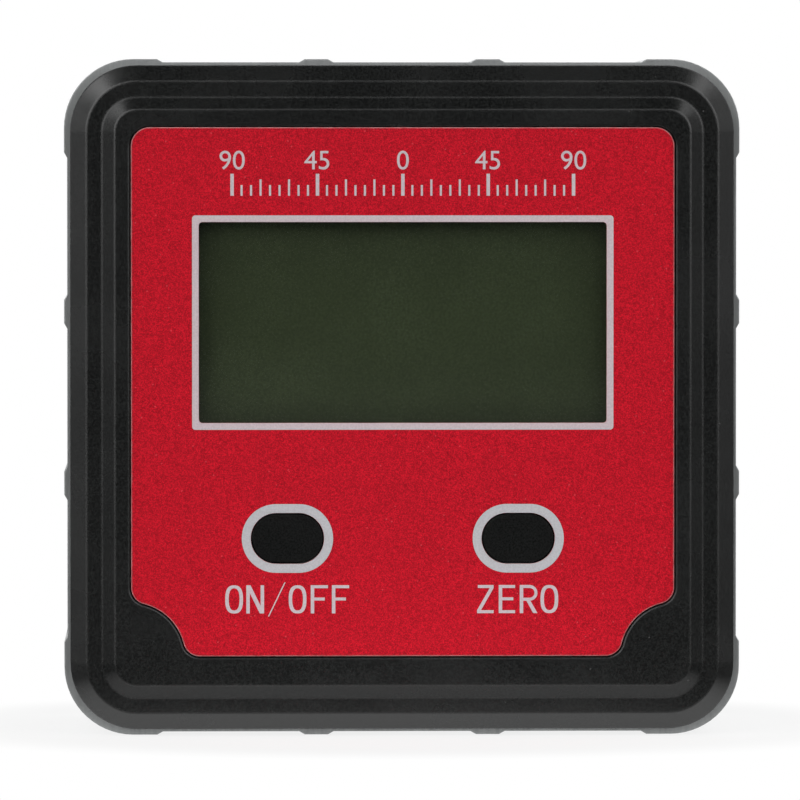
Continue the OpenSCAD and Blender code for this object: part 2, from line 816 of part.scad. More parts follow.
// Stepped cover with the door's recess, the cell's well and the screw bosses
module rear_cover() {
    color("#1c1d1d") difference() {
        union() {
            difference() {
                mirror([0, 1, 0]) cover_form();
                slab(y_rear_lip - past, y_rear_in) mid_square(hollow_half, hollow_corner_r);
            }
            well_form();
            at_corners(case_screw_at, case_screw_at) rod(y_join, y_rear_in + root, case_boss_r);
        }
        well_space();
        slab(y_door_ledge, y_back + past) door_outline(door_gap);
        for (side = [-1, 1]) tab_box(side, tab_gap, y_rear_in - past, y_back - tab_roof_t);
        translate([-grip_w / 2, y_back + scoop_r - scoop_t, mid_z + door_h / 2 + door_gap])
            rotate([0, 90, 0]) cylinder(h = grip_w, r = scoop_r);
        at_corners(case_screw_at, case_screw_at) {
            rod(y_join - past, y_head + past, case_screw_d / 2 + pass_gap);
            rod(y_head, y_back + past, case_head_d / 2 + case_head_gap);
        }
    }
}

module case_screws() {
    color("dimgray") at_corners(case_screw_at, case_screw_at) translate([0, y_head, 0])
        cross_head_screw(case_screw_d, y_head - y_join + case_screw_grip, case_head_d, case_head_h);
}

// Flat door with two hinge tabs at its lower edge and grip grooves near its upper edge
module battery_door() {
    color("#1c1d1d") {
        difference() {
            slab(y_door, y_back) door_outline(0);
            for (i = [0:grip_count - 1])
                translate([-grip_w / 2, y_back - grip_t, first_groove_z - i * grip_pitch])
                cube([grip_w, grip_t + past, grip_h]);
        }
        for (side = [-1, 1]) tab_box(side, 0, y_door, y_tab);
    }
}

// Coin cell with its smaller negative cap towards the front
module coin_cell() {
    color("gainsboro") translate([0, y_cell, mid_z]) rotate([-90, 0, 0]) rotate_extrude()
        polygon([[0, 0], [cell_cap_r, 0], [cell_cap_r + cell_cap_h, cell_cap_h], [cell_d / 2, cell_cap_h],
            [cell_d / 2, cell_t], [0, cell_t]]);
}

// Flat strip on the well's floor: its tongue springs up to the cell, its tail goes out through the floor
module negative_contact() {
    tail = contact_t - contact_reach;
    tip = contact_reach + tongue_len;
    color("goldenrod") translate([0, 0, mid_z - contact_w / 2]) linear_extrude(contact_w)
        polygon([[-contact_reach, y_tail], [tail, y_tail], [tail, y_well], [0, y_well],
            [contact_reach, y_cell - contact_t], [tip, y_cell - contact_t], [tip, y_cell],
            [contact_reach, y_cell], [0, y_strip], [-contact_reach, y_strip]]);
}

// Side clip against the cell's rim, with its tail out through the floor
module positive_contact() {
    color("goldenrod") slab(y_tail, y_cell_top) clip_outline(0);
}

// Point on a cubic curve with the four control points p
function curve_point(p, t) = pow(1 - t, 3) * p[0] + 3 * t * pow(1 - t, 2) * p[1]
    + 3 * t * t * (1 - t) * p[2] + pow(t, 3) * p[3];

// Unit direction of that curve
function curve_direction(p, t) = let (d = pow(1 - t, 2) * (p[1] - p[0]) + 2 * t * (1 - t) * (p[2] - p[1])
    + t * t * (p[3] - p[2])) d / norm(d);

// Point number i of the ring of radius r around the curve
function ring_point(p, t, r, i) = let (d = curve_direction(p, t), u = cross([0, 0, 1], d), a = u / norm(u),
    turn = 360 * i / lead_sides) curve_point(p, t) + r * (cos(turn) * a + sin(turn) * cross(d, a));

// Insulated wire from a solder tail to its pad on the board
module lead(x0, x1) {
    run = (y_tail - y_board_back) / 2;
    path = [[x0, y_tail, mid_z], [x0, y_tail - run, mid_z], [x1, y_board_back + run, lead_pad_z],
        [x1, y_board_back, lead_pad_z]];
    points = [for (k = [0:lead_rings], i = [0:lead_sides - 1])
        ring_point(path, k / lead_rings, lead_d / 2, i)];
    sides = [for (k = [0:lead_rings - 1], i = [0:lead_sides - 1]) let (j = (i + 1) % lead_sides)
        [k * lead_sides + i, (k + 1) * lead_sides + i, (k + 1) * lead_sides + j, k * lead_sides + j]];
    first_end = [for (i = [0:lead_sides - 1]) i];
    last_end = [for (i = [lead_sides - 1:-1:0]) lead_rings * lead_sides + i];
    polyhedron(points, concat([first_end], sides, [last_end]));
}

module negative_lead() {
    color("black") lead(contact_t / 2 - contact_reach, -lead_pad_x);
}

module positive_lead() {
    color("firebrick") lead(clip_x + contact_t / 2, lead_pad_x);
}

frame();
left_magnet();
right_magnet();
front_cover();
face_label();
display_lens();
lcd_panel();
upper_zebra_strip();
lower_zebra_strip();
main_board();
board_screws();
on_off_key();
zero_key();
on_off_plunger();
zero_plunger();
on_off_switch();
zero_switch();
microcontroller();
tilt_sensor();
crystal();
chip_capacitors();
rear_cover();
case_screws();
battery_door();
coin_cell();
negative_contact();
positive_contact();
negative_lead();
positive_lead();
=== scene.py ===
import math

import bpy
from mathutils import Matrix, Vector
from mathutils.geometry import tessellate_polygon


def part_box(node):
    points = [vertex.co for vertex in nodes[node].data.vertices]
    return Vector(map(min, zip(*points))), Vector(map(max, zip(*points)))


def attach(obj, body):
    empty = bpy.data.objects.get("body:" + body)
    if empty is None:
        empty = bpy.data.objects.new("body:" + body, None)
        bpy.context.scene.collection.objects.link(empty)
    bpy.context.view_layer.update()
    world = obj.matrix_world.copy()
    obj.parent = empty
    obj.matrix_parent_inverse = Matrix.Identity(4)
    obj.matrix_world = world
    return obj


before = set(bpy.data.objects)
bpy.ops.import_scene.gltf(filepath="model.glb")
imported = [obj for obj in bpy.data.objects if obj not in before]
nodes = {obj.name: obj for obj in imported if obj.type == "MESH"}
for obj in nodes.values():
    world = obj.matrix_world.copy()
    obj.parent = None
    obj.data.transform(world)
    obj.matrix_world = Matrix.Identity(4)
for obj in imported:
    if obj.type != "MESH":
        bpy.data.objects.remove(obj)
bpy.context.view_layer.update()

MM = 0.001
scene = bpy.context.scene

# Places on the front, in millimetres, as the solids have them
MID_Z = 27.0
Y_RIM = -14.1
Y_STEP = -15.2
Y_FACE = -16.0
Y_LABEL = 1000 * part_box("face_label")[0].y
WINDOW_Z = 33.0
WINDOW_W, WINDOW_H = 32.5, 16.0
KEY_X, KEY_Z = 9.2, 15.8
KEY_HOLE_W, KEY_HOLE_H = 5.84, 4.04

# The photo: its size, its scale and the pixel on the middle of the cover
PICTURE_PX = 800
PX_PER_MM = 12.52
MIDDLE_COLUMN, MIDDLE_ROW = 402.3, 397.3


def px_x(column):
    """Distance to the right of the middle for a column of the photo."""
    return (column - MIDDLE_COLUMN) / PX_PER_MM


def px_z(row):
    """Height above the base for a row of the photo."""
    return MID_Z + (MIDDLE_ROW - row) / PX_PER_MM


# Node helpers

# Values between which most of a noise texture lies
NOISE_LOW, NOISE_HIGH = 0.3, 0.7


class Graph:
    """Short calls for building one shader."""

    def __init__(self, tree):
        self.tree = tree

    def add(self, kind, **settings):
        made = self.tree.nodes.new(kind)
        for name, value in settings.items():
            setattr(made, name, value)
        return made

    def put(self, value, socket):
        """Links a socket, or sets a constant."""
        if isinstance(value, bpy.types.NodeSocket):
            self.tree.links.new(value, socket)
        else:
            socket.default_value = value

    def math(self, operation, a, b=0.0):
        made = self.add("ShaderNodeMath", operation=operation)
        self.put(a, made.inputs[0])
        self.put(b, made.inputs[1])
        return made.outputs[0]

    def times(self, a, b):
        return self.math("MULTIPLY", a, b)

    def ramp(self, value, low, high, out_low=0.0, out_high=1.0):
        made = self.add("ShaderNodeMapRange", interpolation_type="SMOOTHSTEP")
        for v, socket in zip((value, low, high, out_low, out_high), made.inputs):
            self.put(v, socket)
        return made.outputs[0]

    def stretch(self, noise, out_low=0.0, out_high=1.0):
        """A noise spread over the whole of an output range."""
        return self.ramp(noise, NOISE_LOW, NOISE_HIGH, out_low, out_high)

    def mix(self, factor, a, b):
        made = self.add("ShaderNodeMix", data_type="RGBA")
        self.put(factor, made.inputs["Factor"])
        self.put(a, made.inputs[6])
        self.put(b, made.inputs[7])
        return made.outputs[2]

    def position(self, output="Object"):
        """The X, Y and Z outputs of a texture coordinate."""
        coords = self.add("ShaderNodeTexCoord")
        split = self.add("ShaderNodeSeparateXYZ")
        self.tree.links.new(coords.outputs[output], split.inputs[0])
        return split.outputs

    def place(self, scale=(1, 1, 1)):
        coords = self.add("ShaderNodeTexCoord")
        made = self.add("ShaderNodeMapping")
        made.inputs["Scale"].default_value = scale
        self.tree.links.new(coords.outputs["Object"], made.inputs["Vector"])
        return made.outputs[0]

    def noise(self, vector, scale, detail=2.0, roughness=0.5):
        made = self.add("ShaderNodeTexNoise")
        self.put(vector, made.inputs["Vector"])
        made.inputs["Scale"].default_value = scale
        made.inputs["Detail"].default_value = detail
        made.inputs["Roughness"].default_value = roughness
        return made.outputs[0]

    def specks(self, vector, scale, size):
        """1 inside small scattered dots, 0 elsewhere."""
        made = self.add("ShaderNodeTexVoronoi")
        self.put(vector, made.inputs["Vector"])
        made.inputs["Scale"].default_value = scale
        return self.ramp(made.outputs["Distance"], size * 0.6, size, 1.0, 0.0)

    def bump(self, height, strength, depth_mm, normal=None):
        made = self.add("ShaderNodeBump")
        made.inputs["Strength"].default_value = strength
        made.inputs["Distance"].default_value = depth_mm * MM
        self.put(height, made.inputs["Height"])
        if normal is not None:
            self.put(normal, made.inputs["Normal"])
        return made.outputs[0]

    def soft_edges(self, width_mm):
        """Surface normal with the edges rounded."""
        made = self.add("ShaderNodeBevel", samples=6)
        made.inputs["Radius"].default_value = width_mm * MM
        return made.outputs[0]

    def worn_and_highlight_edges(self, normal, scale):
        """1 on broken stretches of the edges, where the rounded normal leaves the face's own; these are
        lightened as wear and painted highlight.
        """
        geometry = self.add("ShaderNodeNewGeometry")
        made = self.add("ShaderNodeVectorMath", operation="DOT_PRODUCT")
        self.put(normal, made.inputs[0])
        self.put(geometry.outputs["True Normal"], made.inputs[1])
        edge = self.ramp(made.outputs["Value"], 0.905, 0.965, 1.0, 0.0)
        broken = self.ramp(self.noise(self.place(), scale, 3.0), 0.48, 0.66)
        return self.times(edge, broken)

    def facing_y(self, normal):
        """How far a normal points to the front or the back, from 0 to 1."""
        split = self.add("ShaderNodeSeparateXYZ")
        self.put(normal, split.inputs[0])
        return self.math("ABSOLUTE", split.outputs["Y"])


def material(name, **constants):
    """A new material, its graph and its shader. Names of constants have _ for each space."""
    made = bpy.data.materials.new(name)
    made.use_nodes = True
    surface = made.node_tree.nodes["Principled BSDF"]
    for key, value in constants.items():
        surface.inputs[key.replace("_", " ")].default_value = value
    return made, Graph(made.node_tree), surface


def rgb(r, g, b):
    return (r, g, b, 1.0)


def scaled(colour, factor):
    return rgb(*(factor * c for c in colour))


# Materials

DUST_GREY = rgb(0.13, 0.13, 0.128)
# Lighter grey for the edges, partly wear and partly painted highlight
WORN_AND_HIGHLIGHT_GREY = rgb(0.055, 0.055, 0.054)
GRAIN_DARK, GRAIN_LIGHT = 0.3, 1.9


def moulded_plastic(name, colour, roughness, grain, dust=0.0, level=0.5, edge_mm=0.12):
    """Black moulded plastic: fine eroded grain, uneven sheen, a few specks of dust, and edges lightened
    partly by wear and partly by painted highlight.
    """
    made, g, s = material(name, Specular_IOR_Level=level)
    at = g.place()
    fine = g.noise(at, 6400, 3.0, 0.7)
    wide = g.noise(at, 160, 3.0)
    tone = g.mix(g.ramp(fine, 0.35, 0.65), scaled(colour, GRAIN_DARK), scaled(colour, GRAIN_LIGHT))
    if dust:
        tone = g.mix(g.times(g.specks(at, 420, 0.035), dust), tone, DUST_GREY)
    rounded = g.soft_edges(edge_mm)
    # Broken stretches of the edges are lightened: partly wear, partly painted highlight lines
    tone = g.mix(g.times(g.worn_and_highlight_edges(rounded, 1100), 0.22), tone, WORN_AND_HIGHLIGHT_GREY)
    g.put(tone, s.inputs["Base Color"])
    g.put(g.stretch(wide, *roughness), s.inputs["Roughness"])
    g.put(g.bump(fine, grain, 0.02, rounded), s.inputs["Normal"])
    return made


def bezel_gloss(made, plateau, inner, outer):
    """Gives the front cover's plateau, inner bevel and outer bevel a gloss each, by their depth."""
    g = Graph(made.node_tree)
    surface = made.node_tree.nodes["Principled BSDF"]
    depth = g.position()["Y"]
    front = g.ramp(depth, (Y_FACE + 0.02) * MM, (Y_FACE + 0.07) * MM, plateau, inner)
    behind = g.ramp(depth, (Y_STEP - 0.03) * MM, (Y_STEP + 0.06) * MM, 0.0, outer - inner)
    g.put(g.math("ADD", front, behind), surface.inputs["Specular IOR Level"])


ALUMINIUM_DARK = rgb(0.52, 0.535, 0.535)
ALUMINIUM_LIGHT = rgb(0.61, 0.628, 0.628)
ALUMINIUM_LINE = rgb(0.36, 0.372, 0.375)
# Dark grey of the painted shade on the frame's end faces
ALUMINIUM_END_SHADE = rgb(0.20, 0.207, 0.207)


def extruded_aluminium():
    """Satin extrusion: die lines along Y on the sides, milled ends darkened with painted shade, slightly
    uneven tone.
    """
    made, g, s = material("extruded_aluminium", Metallic=1.0)
    lines = g.noise(g.place((1, 0.02, 1)), 5200, 3.0, 0.6)
    milled = g.noise(g.place((1, 1, 0.06)), 4200, 2.0)
    wide = g.noise(g.place((1, 0.08, 1)), 260, 3.0)
    rounded = g.soft_edges(0.16)
    end = g.ramp(g.facing_y(rounded), 0.6, 0.9)
    pattern = g.mix(end, lines, milled)
    tone = g.mix(g.stretch(wide), ALUMINIUM_DARK, ALUMINIUM_LIGHT)
    tone = g.mix(g.times(pattern, 0.35), tone, ALUMINIUM_LINE)
    # Painted shade: the end faces, which point to the front and the back, are darkened
    tone = g.mix(g.times(end, 0.62), tone, ALUMINIUM_END_SHADE)
    g.put(tone, s.inputs["Base Color"])
    g.put(g.ramp(pattern, 0.25, 0.75, 0.46, 0.66), s.inputs["Roughness"])
    g.put(g.bump(pattern, 0.18, 0.02, rounded), s.inputs["Normal"])
    return made


RED_DARK = rgb(0.225, 0.003, 0.008)
RED_LIGHT = rgb(0.815, 0.011, 0.031)
RED_BLOTCH = rgb(0.47, 0.008, 0.020)
RED_FLECK = rgb(0.78, 0.14, 0.17)
FILM_CORE = rgb(0.92, 0.58, 0.58)


def red_film():
    """Matte printed film with a fine grain; its cut edge shows the pale core."""
    made, g, s = material("red_film", Specular_IOR_Level=0.1)
    at = g.place()
    fine = g.noise(at, 10500, 3.0, 0.75)
    blotch = g.ramp(g.noise(at, 420, 3.0), 0.35, 0.65)
    tone = g.mix(g.stretch(fine), RED_DARK, RED_LIGHT)
    tone = g.mix(g.times(blotch, 0.12), tone, RED_BLOTCH)
    tone = g.mix(g.times(g.specks(at, 1100, 0.085), 0.4), tone, RED_FLECK)
    rounded = g.soft_edges(0.22)
    edge = g.ramp(g.facing_y(rounded), 0.80, 0.99, 1.0, 0.0)
    uneven = g.ramp(g.noise(at, 1500, 2.0), 0.3, 0.6, 0.6, 1.0)
    tone = g.mix(g.times(edge, uneven), tone, FILM_CORE)
    g.put(tone, s.inputs["Base Color"])
    g.put(g.stretch(fine, 0.5, 0.64), s.inputs["Roughness"])
    g.put(g.bump(fine, 0.25, 0.02, rounded), s.inputs["Normal"])
    return made


def printed_ink(name, low, high):
    """Light ink with slightly uneven cover."""
    made, g, s = material(name, Specular_IOR_Level=0.3)
    fine = g.noise(g.place(), 6500, 3.0, 0.6)
    g.put(g.mix(g.stretch(fine), low, high), s.inputs["Base Color"])
    g.put(g.stretch(fine, 0.45, 0.6), s.inputs["Roughness"])
    g.put(g.bump(fine, 0.15, 0.01), s.inputs["Normal"])
    return made


def clear_lens():
    """Clear moulded plastic with a faint, uneven haze."""
    made, g, s = material("clear_lens", IOR=1.49, Base_Color=rgb(0.93, 0.96, 0.91),
                          Transmission_Weight=1.0)
    g.put(g.stretch(g.noise(g.place(), 260, 3.0), 0.015, 0.05), s.inputs["Roughness"])
    return made


DISPLAY_DARK = rgb(0.079, 0.099, 0.053)
DISPLAY_LIGHT = rgb(0.094, 0.118, 0.064)
DISPLAY_GRAIN = rgb(0.045, 0.058, 0.030)
DISPLAY_SPECK = rgb(0.20, 0.24, 0.17)
# Near-black of the painted shade at the edges of the display's window
DISPLAY_EDGE_SHADE = rgb(0.004, 0.004, 0.003)


def display_glass():
    """Unlit reflective display: grey-green, with painted shade darkening it towards the edges of its
    window.
    """
    made, g, s = material("display_glass", Roughness=0.28, Specular_IOR_Level=0.25)
    at = g.place()
    spot = g.position()
    across = g.math("ABSOLUTE", g.math("DIVIDE", spot["X"], WINDOW_W / 2 * MM))
    up = g.math("DIVIDE", g.math("SUBTRACT", spot["Z"], WINDOW_Z * MM), WINDOW_H / 2 * MM)
    # Painted shade: the display's colour darkens towards the sides, top and bottom of its window, where the
    # window's edges shade it
    sides = g.ramp(across, 0.72, 1.0, 1.0, 0.88)
    top = g.ramp(up, 0.2, 1.0, 1.0, 0.92)
    bottom = g.ramp(up, -0.7, -1.0, 1.0, 0.74)
    shade = g.times(sides, g.times(top, bottom))
    fine = g.noise(at, 5200, 2.0)
    cloud = g.noise(at, 130, 3.0)
    tone = g.mix(g.stretch(cloud), DISPLAY_DARK, DISPLAY_LIGHT)
    tone = g.mix(g.stretch(fine, 0.0, 0.62), tone, DISPLAY_GRAIN)
    tone = g.mix(g.times(g.specks(at, 520, 0.04), 0.35), tone, DISPLAY_SPECK)
    # The painted shade mixes a near-black into the display towards its window's edges
    g.put(g.mix(g.math("SUBTRACT", 1.0, shade), tone, DISPLAY_EDGE_SHADE), s.inputs["Base Color"])
    return made


def plated_metal(name, colour, roughness, along=(1, 1, 1), scale=3000):
    """Plated or rolled metal with fine lines and a slightly uneven tone."""
    made, g, s = material(name, Metallic=1.0)
    lines = g.noise(g.place(along), scale, 3.0, 0.6)
    wide = g.noise(g.place(), 240, 3.0)
    g.put(g.mix(g.stretch(wide), scaled(colour, 0.82), rgb(*colour)), s.inputs["Base Color"])
    g.put(g.stretch(lines, *roughness), s.inputs["Roughness"])
    g.put(g.bump(lines, 0.12, 0.01, g.soft_edges(0.08)), s.inputs["Normal"])
    return made


SCREW_DARK = rgb(0.42, 0.42, 0.43)
SCREW_LIGHT = rgb(0.50, 0.50, 0.51)
# Near-black of the painted shade in the cross recess
SCREW_RECESS_SHADE = rgb(0.03, 0.03, 0.032)


def screw_head(outer):
    """Plated screw whose cross recess, below the head's outer face, is darkened with painted shade."""
    made, g, s = material("screw_head", Metallic=1.0)
    # Painted shade in the cross recess, darker the deeper it lies below the head's outer face
    recess = g.ramp(g.position()["Y"], outer - 0.45 * MM, outer - 0.1 * MM, 0.9, 0.0)
    fine = g.noise(g.place(), 5200, 2.0)
    tone = g.mix(g.stretch(fine), SCREW_DARK, SCREW_LIGHT)
    g.put(g.mix(recess, tone, SCREW_RECESS_SHADE), s.inputs["Base Color"])
    g.put(g.stretch(fine, 0.32, 0.42), s.inputs["Roughness"])
    g.put(g.bump(fine, 0.05, 0.01, g.soft_edges(0.06)), s.inputs["Normal"])
    return made


TONE_SPREAD = 0.18


def matte_part(name, colour, roughness=(0.5, 0.7)):
    """Plain matte surface with a fine, uneven tone."""
    made, g, s = material(name)
    fine = g.noise(g.place(), 2600, 3.0)
    low, high = scaled(colour, 1 - TONE_SPREAD), scaled(colour, 1 + TONE_SPREAD)
    g.put(g.mix(g.stretch(fine), low, high), s.inputs["Base Color"])
    g.put(g.stretch(fine, *roughness), s.inputs["Roughness"])
    g.put(g.bump(fine, 0.15, 0.02), s.inputs["Normal"])
    return made


COVER_BLACK = (0.0072, 0.0077, 0.0075)
COVER_ROUGHNESS = (0.22, 0.29)
COVER_LOOK = {"grain": 0.12, "dust": 0.5, "level": 0.62}
KEY_BLACK = (0.0056, 0.0060, 0.0058)
SATIN_WIRE = (0.35, 0.5)

front_plastic = moulded_plastic("front_plastic", COVER_BLACK, COVER_ROUGHNESS, edge_mm=0.26, **COVER_LOOK)
bezel_gloss(front_plastic, plateau=0.62, inner=0.44, outer=0.84)
rear_plastic = moulded_plastic("rear_plastic", COVER_BLACK, COVER_ROUGHNESS, **COVER_LOOK)
key_plastic = moulded_plastic("key_plastic", KEY_BLACK, (0.40, 0.50), grain=0.3, level=0.1)
warm_ink = printed_ink("warm_ink", rgb(0.560, 0.470, 0.500), rgb(0.650, 0.550, 0.585))
ring_ink = printed_ink("ring_ink", rgb(0.485, 0.482, 0.505), rgb(0.562, 0.558, 0.585))
magnet_plate = plated_metal("magnet_plate", (0.66, 0.66, 0.67), (0.16, 0.28))
screw_steel = plated_metal("screw_steel", (0.40, 0.40, 0.41), (0.24, 0.40))
cell_steel = plated_metal("cell_steel", (0.70, 0.70, 0.70), (0.22, 0.36), (1, 1, 0.05), 4200)
contact_brass = plated_metal("contact_brass", (0.75, 0.60, 0.30), (0.2, 0.34))
strip_rubber = matte_part("strip_rubber", (0.10, 0.10, 0.11))
switch_plastic = matte_part("switch_plastic", (0.05, 0.05, 0.055))
plunger_plastic = matte_part("plunger_plastic", (0.20, 0.11, 0.05))
chip_plastic = matte_part("chip_plastic", (0.02, 0.02, 0.021))

FINISH = {
    "frame": extruded_aluminium(),
    "front_cover": front_plastic,
    "rear_cover": rear_plastic,
    "battery_door": rear_plastic,
    "on_off_key": key_plastic,
    "zero_key": key_plastic,
    "face_label": red_film(),
    "display_lens": clear_lens(),
    "lcd_panel": display_glass(),
    "left_magnet": magnet_plate,
    "right_magnet": magnet_plate,
    "upper_zebra_strip": strip_rubber,
    "lower_zebra_strip": strip_rubber,
    "main_board": matte_part("board_mask", (0.03, 0.20, 0.08), (0.3, 0.45)),
    "board_screws": screw_steel,
    "case_screws": screw_head(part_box("case_screws")[1].y),
    "on_off_plunger": plunger_plastic,
    "zero_plunger": plunger_plastic,
    "on_off_switch": switch_plastic,
    "zero_switch": switch_plastic,
    "microcontroller": chip_plastic,
    "tilt_sensor": chip_plastic,
    "crystal": cell_steel,
    "chip_capacitors": matte_part("ceramic", (0.45, 0.30, 0.16)),
    "coin_cell": cell_steel,
    "negative_contact": contact_brass,
    "positive_contact": contact_brass,
    "negative_lead": matte_part("black_wire", (0.02, 0.02, 0.02), SATIN_WIRE),
    "positive_lead": matte_part("red_wire", (0.5, 0.03, 0.03), SATIN_WIRE),
}

for name, finish in FINISH.items():
    obj = nodes[name]
    obj.data.materials.clear()
    obj.data.materials.append(finish)


# Print on the label, in millimetres

INK_T = 0.02
FRAME_PRINT_W, FRAME_PRINT_H = 33.58, 17.08
FRAME_PRINT_R, WINDOW_R = 0.26, 0.3
KEY_RING_W, KEY_RING_H = 7.28, 5.48
# Clearance of the print round a hole, counted over both sides
HOLE_CLEAR = 0.03
# How far a ring's corner radii differ from half its height, so that no two points fall together
RING_EASE = 0.01


def arc(cx, cz, r, start, end, steps=10):
    """Points on an arc, its angles in degrees."""
    found = []
    for i in range(steps + 1):
        a = math.radians(start + (end - start) * i / steps)
        found.append((cx + r * math.cos(a), cz + r * math.sin(a)))
    return found


def round_box(w, h, r, steps):
    """Closed outline of a round-cornered rectangle about the origin."""
    x, z = w / 2 - r, h / 2 - r
    corners = ((x, z, 0), (-x, z, 90), (-x, -z, 180), (x, -z, 270))
    return [p for cx, cz, a in corners for p in arc(cx, cz, r, a, a + 90, steps)]


def signed_area(loop):
    """Twice a loop's area, above 0 when it runs anticlockwise."""
    following = loop[1:] + loop[:1]
    return sum(x0 * z1 - x1 * z0 for (x0, z0), (x1, z1) in zip(loop, following))


def print_piece(name, shapes, finish=warm_ink):
    """Thin ink on the label. A shape is its outline and any holes, in X and Z."""
    verts, faces = [], []
    for loops in shapes:
        flat = [p for loop in loops for p in loop]
        base = len(verts)
        count = len(flat)
        for y in (Y_LABEL - INK_T, Y_LABEL):
            verts += [(x * MM, y * MM, z * MM) for x, z in flat]
        for tri in tessellate_polygon([[Vector((x, z, 0)) for x, z in loop] for loop in loops]):
            a, b, c = (Vector(flat[i]) for i in tri)
            turn = (b - a).cross(c - a)
            tri = tri if turn > 0 else tri[::-1]
            faces.append([base + i for i in tri])
            faces.append([base + count + i for i in tri[::-1]])
        first = 0
        for k, loop in enumerate(loops):
            n = len(loop)
            outward = (signed_area(loop) > 0) == (k == 0)
            for i in range(n):
                p, q = base + first + i, base + first + (i + 1) % n
                quad = [q, p, p + count, q + count]
                faces.append(quad if outward else quad[::-1])
            first += n
    mesh = bpy.data.meshes.new(name)
    mesh.from_pydata(verts, [], faces)
    mesh.update()
    obj = bpy.data.objects.new(name, mesh)
    scene.collection.objects.link(obj)
    mesh.materials.append(finish)
    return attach(obj, "case")


def moved(loops, x, z):
    return [[(px + x, pz + z) for px, pz in loop] for loop in loops]


window_outline = round_box(FRAME_PRINT_W, FRAME_PRINT_H, FRAME_PRINT_R, 6)
window_hole = round_box(WINDOW_W + HOLE_CLEAR, WINDOW_H + HOLE_CLEAR, WINDOW_R, 6)
print_piece("window_print", [moved([window_outline, window_hole], 0.0, WINDOW_Z)])

ring_outline = round_box(KEY_RING_W, KEY_RING_H, KEY_RING_H / 2 - RING_EASE, 16)
ring_hole = round_box(KEY_HOLE_W + HOLE_CLEAR, KEY_HOLE_H + HOLE_CLEAR, KEY_HOLE_H / 2 + RING_EASE, 16)
for side, name in ((-1, "on_off_ring"), (1, "zero_ring")):
    print_piece(name, [moved([ring_outline, ring_hole], side * KEY_X, KEY_Z)], ring_ink)

# Letters of the key words: a box of W by H, with upright strokes of S and level strokes of T
W, H, S, T = 1.42, 2.25, 0.28, 0.24
MIDDLE = 0.51 * H
BAR_TOP, BAR_FOOT = MIDDLE + T / 2, MIDDLE - T / 2


def oval(w, h, power, steps=48):
    """Closed outline of a squared oval about the middle of the letter's box."""
    found = []
    for i in range(steps):
        turn = 2 * math.pi * i / steps
        c, s = math.cos(turn), math.sin(turn)
        x = math.copysign(abs(c) ** (2 / power), c) * w / 2
        z = math.copysign(abs(s) ** (2 / power), s) * h / 2
        found.append((W / 2 + x, H / 2 + z))
    return found


def letter_o():
    return [[oval(W, H, 2.6), oval(W - 2 * S, H - 2 * T, 2.4)]]


def letter_n():
    top, drop = 0.34, 0.62
    return [[[(0, 0), (0, H), (top, H), (W - S, drop), (W - S, H), (W, H), (W, 0), (W - top, 0),
              (S, H - drop), (S, 0)]]]


def letter_f():
    wide, arm = 0.97 * W, 0.79 * W
    return [[[(0, 0), (0, H), (wide, H), (wide, H - T), (S, H - T), (S, BAR_TOP), (arm, BAR_TOP),
              (arm, BAR_FOOT), (S, BAR_FOOT), (S, 0)]]]


def letter_e():
    wide, arm = 0.92 * W, 0.82 * W
    return [[[(0, 0), (0, H), (wide, H), (wide, H - T), (S, H - T), (S, BAR_TOP), (arm, BAR_TOP),
              (arm, BAR_FOOT), (S, BAR_FOOT), (S, T), (wide, T), (wide, 0)]]]


def letter_z():
    slant, wide, inset = 0.31, 0.93 * W, 0.06
    return [[[(inset, H), (wide, H), (wide, H - T), (slant, T), (wide, T), (wide, 0), (0, 0), (0, T),
              (wide - slant, H - T), (inset, H - T)]]]


def letter_r():
    foot = 0.44 * H
    r = (H - foot) / 2
    bend = W - r
    leg_w, leg_right, leg_left = 0.35, bend + 0.06, bend - 0.26
    outline = [(0, 0), (0, H)] + arc(bend, H - r, r, 90, -90)
    outline += [(leg_right, foot), (W, 0), (W - leg_w, 0), (leg_left, foot), (S, foot), (S, 0)]
    counter = [(S, foot + T)] + arc(bend, foot + r, r - T, -90, 90) + [(S, H - T)]
    return [[outline, counter]]


# Where the words stand in the photo: the row of their feet, and the column of each letter's left edge
TEXT_ROW = 612.4
ON_OFF_COLUMNS = ((letter_o, 225), (letter_n, 246), (letter_o, 288.3), (letter_f, 310.3), (letter_f, 331.4))
ZERO_COLUMNS = ((letter_z, 476.4), (letter_e, 498.0), (letter_r, 519.0), (letter_o, 539.7))
SLASH_FOOT_PX, SLASH_TOP_PX = (267.6, 615.4), (284.0, 581.4)
SLASH_W = 0.10


def slash():
    x0, z0 = px_x(SLASH_FOOT_PX[0]), px_z(SLASH_FOOT_PX[1])
    x1, z1 = px_x(SLASH_TOP_PX[0]), px_z(SLASH_TOP_PX[1])
    return [[[(x0, z0), (x0 + SLASH_W, z0), (x1 + SLASH_W, z1), (x1, z1)]]]


def word(letters):
    foot = px_z(TEXT_ROW)
    return [moved(loops, px_x(column), foot) for make, column in letters for loops in make()]


print_piece("on_off_word", word(ON_OFF_COLUMNS) + slash())
print_piece("zero_word", word(ZERO_COLUMNS))

# Plain scale of degrees above the window; each tick is half its width and its height
SCALE_HALF, SCALE_Z = 13.6, 43.1
SCALE_STEPS = 36
LONG_EVERY, MEDIUM_EVERY = 9, 3
LONG_TICK, MEDIUM_TICK, SHORT_TICK = (0.14, 1.75), (0.085, 1.3), (0.085, 0.85)
NUMBERS = ("90", "45", "0", "45", "90")
NUMBER_SIZE, NUMBER_Z = 2.15, 45.2

